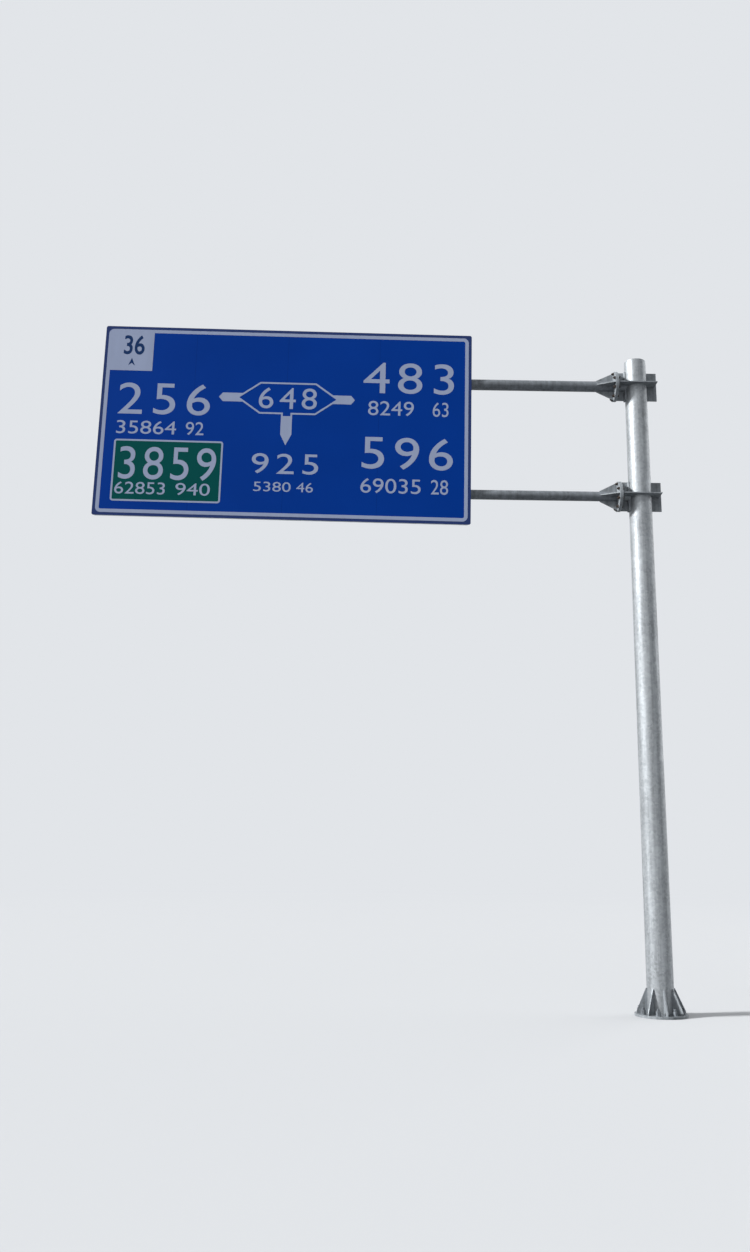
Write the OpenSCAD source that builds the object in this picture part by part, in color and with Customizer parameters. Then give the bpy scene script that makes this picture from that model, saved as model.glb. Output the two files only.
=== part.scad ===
// Cantilever sign gantry: a tapered round steel mast with two round arms that
// carry one large road sign. Millimetres, +Z up. The origin lies on the axis of
// the mast, on the underside of its base flange. The arms run towards -X, and
// the face of the sign looks towards -Y.

/* [Mast] */
// Height from the underside of the base flange to the top of the cap
mast_h = 7520; // [6800:10:8400]
// Outside diameter of the mast at the ground
mast_foot_d = 288; // [260:1:330]
// Outside diameter of the mast at its top
mast_top_d = 256; // [220:1:280]
// Wall of the mast tube
mast_wall = 8; // [5:0.5:12]
// Thickness of the cap that closes the mast
cap_t = 14; // [8:1:20]
// Radius of the cap's rounded rim
cap_round = 6; // [2:1:8]

/* [Base] */
// Diameter of the base flange
base_d = 560; // [520:10:640]
// Thickness of the base flange
base_t = 25; // [16:1:40]
// Diameter of the circle of anchor bolts
anchor_pcd = 460; // [430:5:480]
// Number of anchor bolts, with a gusset between each two
anchor_count = 8; // [6:1:10]
// Diameter of an anchor bolt hole
anchor_hole_d = 36; // [26:1:42]
// Height of a base gusset
base_gusset_h = 260; // [150:10:400]
// Height of a base gusset's outer end
base_gusset_nose = 25; // [10:5:60]
// Thickness of a base gusset
base_gusset_t = 12; // [8:1:16]
// Distance from a base gusset's foot to the rim of the flange
base_gusset_inset = 16; // [5:1:30]
// Leg of the corner cut off a base gusset at the foot of the mast
base_gusset_snipe = 20; // [10:1:35]

/* [Arms] */
// Outside diameter of the upper arm
upper_arm_d = 127; // [108:1:140]
// Outside diameter of the lower arm
lower_arm_d = 114; // [102:1:140]
// Wall of both arms and of their stubs on the mast
arm_wall = 5; // [3:0.5:8]
// Distance from the top of the mast down to the axis of the upper arm
arm_drop = 320; // [230:10:500]
// Distance between the axes of the two arms
arm_spacing = 1390; // [1100:10:1600]
// Distance that each arm stops short of the far edge of the sign
arm_end_inset = 160; // [60:10:220]
// Thickness of the plate that closes the free end of an arm
arm_cap_t = 5; // [3:1:10]

/* [Arm joints] */
// Distance from the axis of the mast to the plane where the flanges meet
joint_reach = 255; // [230:1:320]
// Diameter of the bolted flanges
flange_d = 356; // [340:2:380]
// Thickness of one flange
flange_t = 18; // [14:1:26]
// Diameter of the circle of flange bolts
flange_pcd = 300; // [280:5:310]
// Number of flange bolts
flange_bolts = 8; // [8:4:12]
// Diameter of a flange bolt hole
flange_hole_d = 22; // [16:1:26]
// Thickness of the gussets and ribs of the joints
rib_t = 12; // [8:1:16]
// Length of an arm gusset along the arm
gusset_len = 206; // [140:5:300]
// Height of an arm gusset's thin end above the arm
gusset_nose = 8; // [4:1:20]
// Distance from the wide end of an arm gusset to the rim of the flange
gusset_inset = 8; // [3:1:20]
// Leg of the corner cut off a gusset or rib where its welds would cross
rib_snipe = 14; // [6:1:20]
// Width of the level plate that the mast passes through
ring_plate_w = 346; // [300:2:350]
// Distance from the axis of the mast to the far end of the level plate
plate_far_reach = 220; // [190:5:235]
// Height of the upright ribs, across the axis of the arm
rib_h = 356; // [300:2:380]
// Distance from the axis of the mast to the outer edge of the rib on its far side
rib_far_reach = 247; // [240:1:290]
// Width of the upright pad between the mast and the ribs of the stub
pad_w = 80; // [60:5:110]
// Distance that the pad stands out from the mast
pad_out = 20; // [12:1:45]
// Radius of the pad's upright corners
pad_round = 18; // [5:1:24]

/* [Sign] */
// Width of the sign
sign_w = 4400; // [3600:50:4800]
// Height of the sign
sign_h = 2380; // [1900:20:2600]
// Distance from the axis of the mast to the middle of the sign
sign_reach = 4198; // [3600:10:4600]
// Distance from the axis of the upper arm down to the middle of the sign
sign_drop = 578; // [450:10:800]
// Turn of the sign in its own plane, in degrees, with its mast side lower
sign_tilt = 0.7; // [0:0.1:1.5]
// Thickness of the sign's aluminium panels
panel_t = 3; // [2:0.5:5]
// Radius of the sign's corners
sign_corner = 24; // [10:1:60]
// Width of the strips behind the seams between panels
seam_strip_w = 60; // [40:5:100]
// Thickness of the strips behind the seams
seam_strip_t = 3; // [2:0.5:4]

/* [Sign edging] */
// Width of the edging's leg on the back of the panels
edging_leg = 30; // [20:1:50]
// Depth of the edging's outer leg
edging_depth = 24; // [15:1:28]
// Thickness of the edging
edging_t = 3; // [2:0.5:4]
// Gap between two lengths of edging at a corner
edging_gap = 3; // [1:1:10]

/* [Sign rails] */
// Width of a rail over its feet
rail_foot_w = 100; // [80:5:120]
// Width of a rail's channel
rail_w = 56; // [44:2:70]
// Depth of a rail
rail_depth = 30; // [22:1:40]
// Thickness of a rail's walls
rail_wall = 4; // [3:0.5:5]
// Width of the slot along a rail
rail_slot = 18; // [12:1:24]
// Distance from the end of a rail to the edge of the sign
rail_inset = 60; // [55:5:150]

/* [Clamps] */
// Length of a clamp along its arm
clamp_w = 60; // [40:5:90]
// Thickness of a saddle between a rail and the thicker arm
saddle_t = 7; // [4:1:15]
// Distance from the axis of an arm to the plane where saddle and strap meet
clamp_split = 40; // [20:1:48]
// Distance that a clamp's ears reach past the arm
clamp_ear = 45; // [35:1:70]
// Thickness of a clamp's strap
strap_t = 5; // [3:0.5:8]
// Diameter of the bolt hole through the middle of a clamp's ear
clamp_hole_d = 14; // [9:1:17]

/* [Hidden] */
$fn = 96;
// Length that a cut runs past the solid it goes through
past = 1;
// Panels in the sign, and rails on each panel
panel_count = 4;
rails_per_panel = 2;
rail_count = panel_count * rails_per_panel;
// Colours
zinc = "#a3aab0";
worn_zinc = "#878f96";
mill_aluminium = "#c3c7cb";
sign_blue = "#12479c";
// Heights of the two arms, and radii shared by what seats on them
upper_z = mast_h - arm_drop;
lower_z = upper_z - arm_spacing;
thick_arm_r = max(upper_arm_d, lower_arm_d) / 2;
// Distance from the mast's axis to the flange that the stub's ribs and the level plate end at
rib_reach = joint_reach - flange_t;
// Planes of the sign, from the arms forwards
rail_back_y = -(thick_arm_r + saddle_t);
panel_back_y = rail_back_y - rail_depth;
// Middle of the sign, width of a panel, and free end of the arms
sign_x = -sign_reach;
sign_z = upper_z - sign_drop;
panel_w = sign_w / panel_count;
arm_end_x = sign_x - sign_w / 2 + arm_end_inset;
rail_len = sign_h - 2 * rail_inset;
edging_end = max(sign_corner, edging_leg) + edging_gap;

SIDES = ["upper", "lower"];
JOINT_PIECES = [
    "stub", "mast_flange", "ring_plate", "stub_ribs", "far_ribs", "pads",
    "arm_flange", "arm_gussets", "arm_tube", "arm_cap", "saddles", "straps"
];

// Radius of the tapered mast at height z
function mast_r(z) = (mast_foot_d + (mast_top_d - mast_foot_d) * z / mast_h) / 2;

// Height and radius of an arm
function arm_z(side) = side == "upper" ? upper_z : lower_z;
function arm_r(side) = (side == "upper" ? upper_arm_d : lower_arm_d) / 2;

// Place of a rail across the sign, counted from the end away from the mast
function rail_x(i) = (i - 0.5) * sign_w / rail_count - sign_w / 2;

// Place along an arm where the leaning rail i crosses it
function crossing_x(i, side) =
    let (along = (arm_z(side) - sign_z + rail_x(i) * sin(sign_tilt)) / cos(sign_tilt))
    sign_x + rail_x(i) * cos(sign_tilt) + along * sin(sign_tilt);

// Solid length of the mast between two heights, made thinner all round by inset
module mast_cone(low, high, inset = 0) {
    translate([0, 0, low])
        cylinder(h = high - low, r1 = mast_r(low) - inset, r2 = mast_r(high) - inset);
}

// Round bar along X from x0 to x1
module bar_x(x0, x1, r) {
    translate([x0, 0, 0])
        rotate([0, 90, 0])
            cylinder(h = x1 - x0, r = r);
}

// Moves its children to the axis of an arm
module on_arm(side) {
    translate([0, 0, arm_z(side)])
        children();
}

// Moves its children to the middle of the sign and leans them with it
module on_sign() {
    translate([sign_x, 0, sign_z])
        rotate([0, sign_tilt, 0])
            children();
}

module mast_tube() {
    color(zinc)
        difference() {
            mast_cone(base_t, mast_h - cap_t);
            mast_cone(base_t - past, mast_h - cap_t + past, mast_wall);
        }
}

module mast_cap() {
    r = mast_r(mast_h);
    color(zinc)
        translate([0, 0, mast_h - cap_t])
            rotate_extrude() {
                square([r, cap_t - cap_round]);
                square([r - cap_round, cap_t]);
                translate([r - cap_round, cap_t - cap_round])
                    intersection() {
                        circle(r = cap_round);
                        square(cap_round);
                    }
            }
}

module base_flange() {
    color(worn_zinc)
        difference() {
            cylinder(h = base_t, d = base_d);
            for (i = [0:anchor_count - 1])
                rotate((i + 0.5) * 360 / anchor_count)
                    translate([anchor_pcd / 2, 0, -past])
                        cylinder(h = base_t + 2 * past, d = anchor_hole_d);
        }
}

// Upright triangle between the mast and the base flange
module base_gusset() {
    foot_start = mast_r(base_t);
    foot_end = base_d / 2 - base_gusset_inset;
    translate([0, base_gusset_t / 2, base_t])
        rotate([90, 0, 0])
            linear_extrude(base_gusset_t)
                polygon([
                    [0, base_gusset_snipe], [foot_start, base_gusset_snipe],
                    [foot_start + base_gusset_snipe, 0], [foot_end, 0], [foot_end, base_gusset_nose],
                    [mast_r(base_t + base_gusset_h) + base_gusset_t, base_gusset_h], [0, base_gusset_h]
                ]);
}

module base_gussets() {
    color(worn_zinc)
        difference() {
            for (i = [0:anchor_count - 1])
                rotate(i * 360 / anchor_count)
                    base_gusset();
            mast_cone(base_t - past, base_t + base_gusset_h + past);
        }
}

// Short tube between the mast and the flange that the arm bolts to
module stub(side) {
    color(zinc)
        difference() {
            on_arm(side)
                difference() {
                    bar_x(-joint_reach, 0, arm_r(side));
                    bar_x(-joint_reach - past, past, arm_r(side) - arm_wall);
                }
            mast_cone(base_t, mast_h);
        }
}

// Flange slipped over a tube, with its near face at x0
module flange(side, x0) {
    color(zinc)
        on_arm(side)
            difference() {
                bar_x(x0, x0 + flange_t, flange_d / 2);
                bar_x(x0 - past, x0 + flange_t + past, arm_r(side));
                for (i = [0:flange_bolts - 1])
                    rotate([(i + 0.5) * 360 / flange_bolts, 0, 0])
                        translate([0, 0, flange_pcd / 2])
                            bar_x(x0 - past, x0 + flange_t + past, flange_hole_d / 2);
            }
}

// Level plate round the mast, open on one side for the stub
module ring_plate(side) {
    color(zinc)
        difference() {
            on_arm(side)
                difference() {
                    translate([-rib_reach, -ring_plate_w / 2, -rib_t / 2])
                        cube([rib_reach + plate_far_reach, ring_plate_w, rib_t]);
                    bar_x(-rib_reach - past, 0, arm_r(side));
                }
            mast_cone(base_t, mast_h);
        }
}

// Upright ribs above and below the stub, from its flange to the pads
module stub_ribs(side) {
    pad_face = mast_r(arm_z(side)) + pad_out;
    run = rib_reach - pad_face;
    r = arm_r(side);
    color(zinc)
        on_arm(side)
            difference() {
                for (below = [0, 1])
                    mirror([0, 0, below])
                        translate([-rib_reach, 0, 0])
                            rotate([90, 0, 0])
                                linear_extrude(rib_t, center = true)
                                    polygon([
                                        [0, r + rib_snipe], [rib_snipe, r], [rib_snipe, 0],
                                        [run - rib_snipe, 0], [run - rib_snipe, r], [run, r + rib_snipe],
                                        [run, rib_h / 2], [0, rib_h / 2]
                                    ]);
                bar_x(-rib_reach - past, 0, r);
            }
}

// Upright rib on the far side of the mast, slotted over the level plate
module far_ribs(side) {
    r = mast_r(arm_z(side));
    low = rib_t / 2;
    color(zinc)
        difference() {
            on_arm(side)
                rotate([90, 0, 0])
                    linear_extrude(rib_t, center = true)
                        difference() {
                            translate([0, -rib_h / 2])
                                square([rib_far_reach, rib_h]);
                            translate([0, -low])
                                square([plate_far_reach, rib_t]);
                            polygon([
                                [0, low + rib_snipe], [r, low + rib_snipe], [r + rib_snipe, low],
                                [r + rib_snipe, -low], [r, -low - rib_snipe], [0, -low - rib_snipe]
                            ]);
                        }
            mast_cone(base_t, mast_h);
        }
}

// Outline of a pad seen from above, from the mast's axis to its rounded face
module pad_outline(face) {
    translate([-face, -pad_w / 2 + pad_round])
        square([face, pad_w - 2 * pad_round]);
    translate([-face + pad_round, -pad_w / 2])
        square([face - pad_round, pad_w]);
    for (y = [-1, 1])
        translate([-face + pad_round, y * (pad_w / 2 - pad_round)])
            circle(r = pad_round);
}

// Thick upright pads on the mast, above and below the stub
module pads(side) {
    color(zinc)
        difference() {
            on_arm(side)
                difference() {
                    translate([0, 0, -rib_h / 2])
                        linear_extrude(rib_h)
                            pad_outline(mast_r(arm_z(side)) + pad_out);
                    bar_x(-joint_reach, past, arm_r(side));
                }
            mast_cone(base_t, mast_h);
        }
}

// Tapered fin between an arm and its flange
module arm_gusset(side) {
    r = arm_r(side);
    translate([-joint_reach - flange_t, 0, 0])
        rotate([90, 0, 0])
            linear_extrude(rib_t, center = true)
                polygon([
                    [-rib_snipe, 0], [-rib_snipe, r], [0, r + rib_snipe], [0, flange_d / 2 - gusset_inset],
                    [-gusset_len, r + gusset_nose], [-gusset_len, 0]
                ]);
}

module arm_gussets(side) {
    color(zinc)
        on_arm(side)
            difference() {
                for (turn = [0:90:270])
                    rotate([turn, 0, 0])
                        arm_gusset(side);
                bar_x(arm_end_x, 0, arm_r(side));
            }
}

module arm_tube(side) {
    color(zinc)
        on_arm(side)
            difference() {
                bar_x(arm_end_x, -joint_reach, arm_r(side));
                bar_x(arm_end_x - past, -joint_reach + past, arm_r(side) - arm_wall);
            }
}

module arm_cap(side) {
    color(zinc)
        on_arm(side)
            bar_x(arm_end_x - arm_cap_t, arm_end_x, arm_r(side));
}

// Bolt holes through the ears of the clamps, above and below an arm
module clamp_holes(side) {
    for (i = [1:rail_count], up = [-1, 1])
        translate([crossing_x(i, side), rail_back_y - past, up * (arm_r(side) + clamp_ear / 2)])
            rotate([-90, 0, 0])
                cylinder(h = -rail_back_y + 2 * past, d = clamp_hole_d);
}

// Blocks between the rails and an arm, hollowed to the arm's own round
module saddles(side) {
    ear_end = arm_r(side) + clamp_ear;
    color(mill_aluminium)
        on_arm(side)
            difference() {
                for (i = [1:rail_count])
                    translate([crossing_x(i, side) - clamp_w / 2, rail_back_y, -ear_end])
                        cube([clamp_w, -clamp_split - rail_back_y, 2 * ear_end]);
                bar_x(arm_end_x, 0, arm_r(side));
                clamp_holes(side);
            }
}

// Straps bent over the back of an arm, with an ear above and below
module straps(side) {
    ear_end = arm_r(side) + clamp_ear;
    outer = arm_r(side) + strap_t;
    color(zinc)
        on_arm(side)
            difference() {
                for (i = [1:rail_count])
                    translate([crossing_x(i, side) - clamp_w / 2, 0, 0]) {
                        intersection() {
                            bar_x(0, clamp_w, outer);
                            translate([0, -clamp_split, -outer])
                                cube([clamp_w, clamp_split + outer, 2 * outer]);
                        }
                        translate([0, -clamp_split, -ear_end])
                            cube([clamp_w, strap_t, 2 * ear_end]);
                    }
                bar_x(arm_end_x, 0, arm_r(side));
                clamp_holes(side);
            }
}

// Face of the sign with its round corners, seen from the front
module sign_outline() {
    square([sign_w - 2 * sign_corner, sign_h], center = true);
    square([sign_w, sign_h - 2 * sign_corner], center = true);
    for (x = [-1, 1], z = [-1, 1])
        translate([x * (sign_w / 2 - sign_corner), z * (sign_h / 2 - sign_corner)])
            circle(r = sign_corner);
}

module sign_panel(i) {
    left = (i - 1) * panel_w - sign_w / 2;
    color(sign_blue)
        on_sign()
            translate([0, panel_back_y, 0])
                rotate([90, 0, 0])
                    linear_extrude(panel_t)
                        intersection() {
                            sign_outline();
                            translate([left, -sign_h / 2])
                                square([panel_w, sign_h]);
                        }
}

module seam_strips() {
    color(mill_aluminium)
        on_sign()
            for (i = [1:panel_count - 1])
                translate([i * panel_w - sign_w / 2 - seam_strip_w / 2, panel_back_y, -rail_len / 2])
                    cube([seam_strip_w, seam_strip_t, rail_len]);
}

// Angle behind one edge of the sign, for an edge of this length at this
// distance from the middle; turn brings it to its own side
module edging(edge_len, edge_at, turn) {
    run = edge_len - 2 * edging_end;
    color(mill_aluminium)
        on_sign()
            rotate([0, turn, 0])
                translate([-run / 2, panel_back_y, edge_at]) {
                    translate([0, 0, -edging_leg])
                        cube([run, edging_t, edging_leg]);
                    translate([0, 0, -edging_t])
                        cube([run, edging_depth, edging_t]);
                }
}

// Section of a rail, with its feet on the panels and its slot at the back
module rail_section() {
    lip = (rail_w - rail_slot) / 2;
    translate([-rail_foot_w / 2, 0])
        square([rail_foot_w, rail_wall]);
    for (side = [0, 1])
        mirror([side, 0]) {
            translate([rail_w / 2 - rail_wall, 0])
                square([rail_wall, rail_depth]);
            translate([rail_slot / 2, rail_depth - rail_wall])
                square([lip, rail_wall]);
        }
}

module rail(i) {
    color(mill_aluminium)
        on_sign()
            translate([rail_x(i), panel_back_y, -rail_len / 2])
                linear_extrude(rail_len)
                    rail_section();
}

mast_tube();
mast_cap();
base_flange();
base_gussets();
for (side = SIDES) {
    stub(side);
    flange(side, -joint_reach);
    ring_plate(side);
    stub_ribs(side);
    far_ribs(side);
    pads(side);
    flange(side, -joint_reach - flange_t);
    arm_gussets(side);
    arm_tube(side);
    arm_cap(side);
    saddles(side);
    straps(side);
}
for (i = [1:panel_count])
    sign_panel(i);
seam_strips();
edging(sign_w, sign_h / 2, 0);  // edging_top
edging(sign_h, sign_w / 2, 90);  // edging_right
edging(sign_w, sign_h / 2, 180);  // edging_bottom
edging(sign_h, sign_w / 2, 270);  // edging_left
for (i = [1:rail_count])
    rail(i);
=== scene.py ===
"""Cantilever sign gantry, dressed: finishes, sign film, fasteners, welds and a studio.

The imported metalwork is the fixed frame. Everything here is in metres, in its axes: +Z up
along the mast, the arms run towards -X, and the face of the sign looks towards -Y.
"""

import math
from collections import namedtuple
from functools import partial

import bmesh
import bpy
from bpy.props import FloatProperty, FloatVectorProperty, PointerProperty
from mathutils import Matrix, Vector


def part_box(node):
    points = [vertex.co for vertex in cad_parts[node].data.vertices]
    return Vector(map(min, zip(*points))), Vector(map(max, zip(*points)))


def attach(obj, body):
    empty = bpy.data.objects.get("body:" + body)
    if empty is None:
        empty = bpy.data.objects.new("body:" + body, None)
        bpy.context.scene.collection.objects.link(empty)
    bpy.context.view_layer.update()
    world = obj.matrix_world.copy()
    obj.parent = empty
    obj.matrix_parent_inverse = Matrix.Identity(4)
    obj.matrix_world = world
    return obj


bl_info = {
    "name": "Cantilever sign gantry",
    "version": (1, 0, 0),
    "blender": (4, 5, 0),
    "location": "View3D > Sidebar > Gantry",
    "description": "Dresses the gantry's metalwork with finishes, sign film, fasteners and welds",
    "category": "Add Mesh",
}

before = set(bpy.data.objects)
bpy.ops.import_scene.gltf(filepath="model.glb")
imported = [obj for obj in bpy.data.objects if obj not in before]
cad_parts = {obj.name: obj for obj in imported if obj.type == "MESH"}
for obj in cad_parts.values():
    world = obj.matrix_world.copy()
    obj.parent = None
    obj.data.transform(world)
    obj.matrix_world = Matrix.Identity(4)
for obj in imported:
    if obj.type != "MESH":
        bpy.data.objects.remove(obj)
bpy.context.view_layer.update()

BODY = "root"
MM = 0.001
ARMS = ("upper", "lower")
PANELS = [f"sign_panel_{i}" for i in range(1, 5)]
RAILS = [f"rail_{i}" for i in range(1, 9)]


# Places


def moved(x=0.0, y=0.0, z=0.0):
    return Matrix.Translation((x, y, z))


def turned(angle, axis):
    return Matrix.Rotation(angle, 4, axis)


def near(a, b):
    return abs(a - b) < MM


def middle(node):
    low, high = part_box(node)
    return (low + high) / 2


def span(node):
    low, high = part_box(node)
    return high - low


# The sign leans by this in its own plane, with its mast side lower, as its CAD panels do
SIGN_TILT = math.radians(0.7)
SIGN_MIDDLE = (middle(PANELS[0]) + middle(PANELS[-1])) / 2
SIGN_FACE_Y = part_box(PANELS[0])[0].y
# Turns a drawing in the XY plane, seen from +Z, into film on the sign, seen from the front
SIGN_PLACE = (moved(SIGN_MIDDLE.x, SIGN_FACE_Y, SIGN_MIDDLE.z) @ turned(SIGN_TILT, "Y")
              @ turned(math.pi / 2, "X"))
# Turns the sign back into the plane of its drawing
SIGN_FLAT = SIGN_PLACE.inverted()


def sign_size():
    """Width and height of the sign, measured on its panels without their lean."""
    spots = [SIGN_FLAT @ v.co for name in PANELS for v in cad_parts[name].data.vertices]
    return tuple(max(s[axis] for s in spots) - min(s[axis] for s in spots) for axis in (0, 1))


SIGN_W, SIGN_H = sign_size()
PANEL_W = SIGN_W / len(PANELS)

MAST_FOOT_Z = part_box("mast_tube")[0].z
MAST_TOP_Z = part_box("mast_cap")[1].z
MAST_FOOT_R = span("mast_tube").x / 2
MAST_TOP_R = span("mast_cap").x / 2


def mast_r(z):
    """Radius of the tapered mast at height z."""
    share = (z - MAST_FOOT_Z) / (MAST_TOP_Z - MAST_FOOT_Z)
    return MAST_FOOT_R + (MAST_TOP_R - MAST_FOOT_R) * share


def arm_z(side):
    return middle(f"{side}_arm_flange").z


def arm_r(side):
    return span(f"{side}_arm_cap").z / 2


# Colours and properties


def linear(colour):
    """Linear RGBA of an sRGB hex colour such as #12479c."""
    parts = [int(colour[i:i + 2], 16) / 255 for i in (1, 3, 5)]
    toned = [c / 12.92 if c <= 0.04045 else ((c + 0.055) / 1.055) ** 2.4 for c in parts]
    return (*toned, 1.0)


def shade(colour, strength):
    """A linear colour made lighter or darker."""
    return (*(c * strength for c in colour[:3]), 1.0)


def number_property(name, description, default, **kind):
    return FloatProperty(name=name, description=description, default=default, **kind)


def length_property(name, description, millimetres):
    return number_property(name, description, millimetres * MM, unit="LENGTH", subtype="DISTANCE")


def angle_property(name, description, degrees):
    return number_property(name, description, math.radians(degrees), unit="ROTATION", subtype="ANGLE")


def colour_property(name, description, colour):
    return FloatVectorProperty(name=name, description=description, default=linear(colour)[:3],
                               size=3, subtype="COLOR", min=0, max=1)


# Nodes and materials


def per(size_mm):
    """How often a pattern of this size, in millimetres, repeats in a metre."""
    return 1 / (size_mm * MM)


def add_node(tree, kind, *firsts, **others):
    """Adds a node. Values without a name go to its first sockets, those whose name has a capital
    go to the socket of that name, and the rest are its own settings. A socket takes a number,
    a colour, an output of another node, or another node, which stands for its first output."""
    made = tree.nodes.new(f"ShaderNode{kind}")
    for name, value in others.items():
        if name[0].islower():
            setattr(made, name, value)
    sockets = {s.name.replace(" ", "_"): s for s in made.inputs if s.enabled}
    fed = list(zip(made.inputs, firsts))
    fed += [(sockets[name], value) for name, value in others.items() if name[0].isupper()]
    for socket, value in fed:
        if isinstance(value, bpy.types.Node):
            value = next(s for s in value.outputs if s.enabled)
        if isinstance(value, bpy.types.NodeSocket):
            tree.links.new(value, socket)
        else:
            socket.default_value = value
    return made


def new_tree(owner):
    """Empties the node tree of a material or world, and gives what adds nodes to it."""
    owner.use_nodes = True
    owner.node_tree.nodes.clear()
    return partial(add_node, owner.node_tree)


def zinc(add, spot, colour, chalk_from, metal):
    """Hot-dip galvanised steel, air-weathered. To the eye it is a mid grey metal with a soft
    sheen: crystals a little lighter or darker than their neighbours, clouds where the zinc
    dulled unevenly, faint upright runs of rain, and a chalky bloom in patches. The less of it
    counts as metal, the thicker and duller is its skin of weathered zinc."""
    # Crystals are 8 to 15 mm across, and drawn at 26 mm so that they still show from below
    crystal = add("TexVoronoi", spot, Scale=per(26))
    cloud = add("TexNoise", spot, Scale=per(320), Detail=5, Roughness=0.62)
    stretch = add("Mapping", spot, Scale=(per(45), per(45), per(900)))
    runs = add("TexNoise", stretch, Scale=1, Detail=4, Roughness=0.55)
    uneven = add("Math", cloud, 0.55, runs, operation="MULTIPLY_ADD")
    grey = add("SeparateColor", crystal.outputs["Color"])
    tone = add("Math", grey, 0.22, uneven, operation="MULTIPLY_ADD")
    share = add("MapRange", tone, From_Min=0.62, From_Max=1.12)
    body = add("Mix", share, A=shade(colour, 0.72), B=shade(colour, 1.28), data_type="RGBA")
    bloom = add("TexNoise", spot, Scale=per(150), Detail=6, Roughness=0.7)
    patch = add("MapRange", bloom, From_Min=chalk_from, From_Max=chalk_from + 0.16, To_Max=0.6)
    skin = add("Mix", patch, A=body, B=shade(colour, 1.6), data_type="RGBA")
    gloss = add("MapRange", share, To_Min=0.6, To_Max=0.5)
    grain = add("TexNoise", spot, Scale=per(5), Detail=3)
    relief = add("Math", crystal, 0.5, grain, operation="MULTIPLY_ADD")
    bump = add("Bump", Height=relief, Strength=0.25, Distance=0.3 * MM)
    return add("BsdfPrincipled", Base_Color=skin, Roughness=gloss, Normal=bump, Metallic=metal,
               Specular_IOR_Level=0.2)


def mill_aluminium(add, spot, colour):
    """Extruded aluminium, mill finish. To the eye it is a pale grey metal with fine lines
    along its length from the die, and a dull, slightly cloudy skin of oxide."""
    # Die lines are about 1 mm apart, and drawn 4 mm apart so that they show
    stretch = add("Mapping", spot, Scale=(per(4), per(4), per(1500)))
    lines = add("TexNoise", stretch, Scale=1, Detail=2)
    oxide = add("TexNoise", spot, Scale=per(180), Detail=5, Roughness=0.6)
    tone = add("Math", lines, 0.4, oxide, operation="MULTIPLY_ADD")
    share = add("MapRange", tone, From_Min=0.5, From_Max=0.9)
    body = add("Mix", share, A=shade(colour, 0.75), B=shade(colour, 1.2), data_type="RGBA")
    gloss = add("MapRange", oxide, To_Min=0.52, To_Max=0.36)
    bump = add("Bump", Height=lines, Strength=0.2, Distance=0.2 * MM)
    return add("BsdfPrincipled", Base_Color=body, Roughness=gloss, Normal=bump, Metallic=0.85)


def film_cells(add, spot):
    """The relief of the sealed cells, 4 mm across, that hold the beads of reflective film."""
    cell = add("TexVoronoi", spot, Scale=per(4))
    return add("Bump", Height=cell, Strength=0.12, Distance=0.1 * MM)


def beaded_film(add, spot, colour):
    """Retroreflective film with beads under a clear skin. To the eye it is an even, slightly
    milky colour with a low gloss, a fine cell pattern close up, and dust that settled in
    faint upright runs."""
    stretch = add("Mapping", spot, Scale=(per(120), per(120), per(700)))
    dust = add("TexNoise", stretch, Scale=1, Detail=5, Roughness=0.6)
    fade = add("MapRange", dust, From_Min=0.35, From_Max=0.75, To_Max=0.5)
    body = add("Mix", fade, A=shade(colour, 1.03), B=shade(colour, 0.88), data_type="RGBA")
    gloss = add("MapRange", dust, To_Min=0.34, To_Max=0.5)
    return add("BsdfPrincipled", Base_Color=body, Roughness=gloss, Normal=film_cells(add, spot),
               Specular_IOR_Level=0.05)


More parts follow.
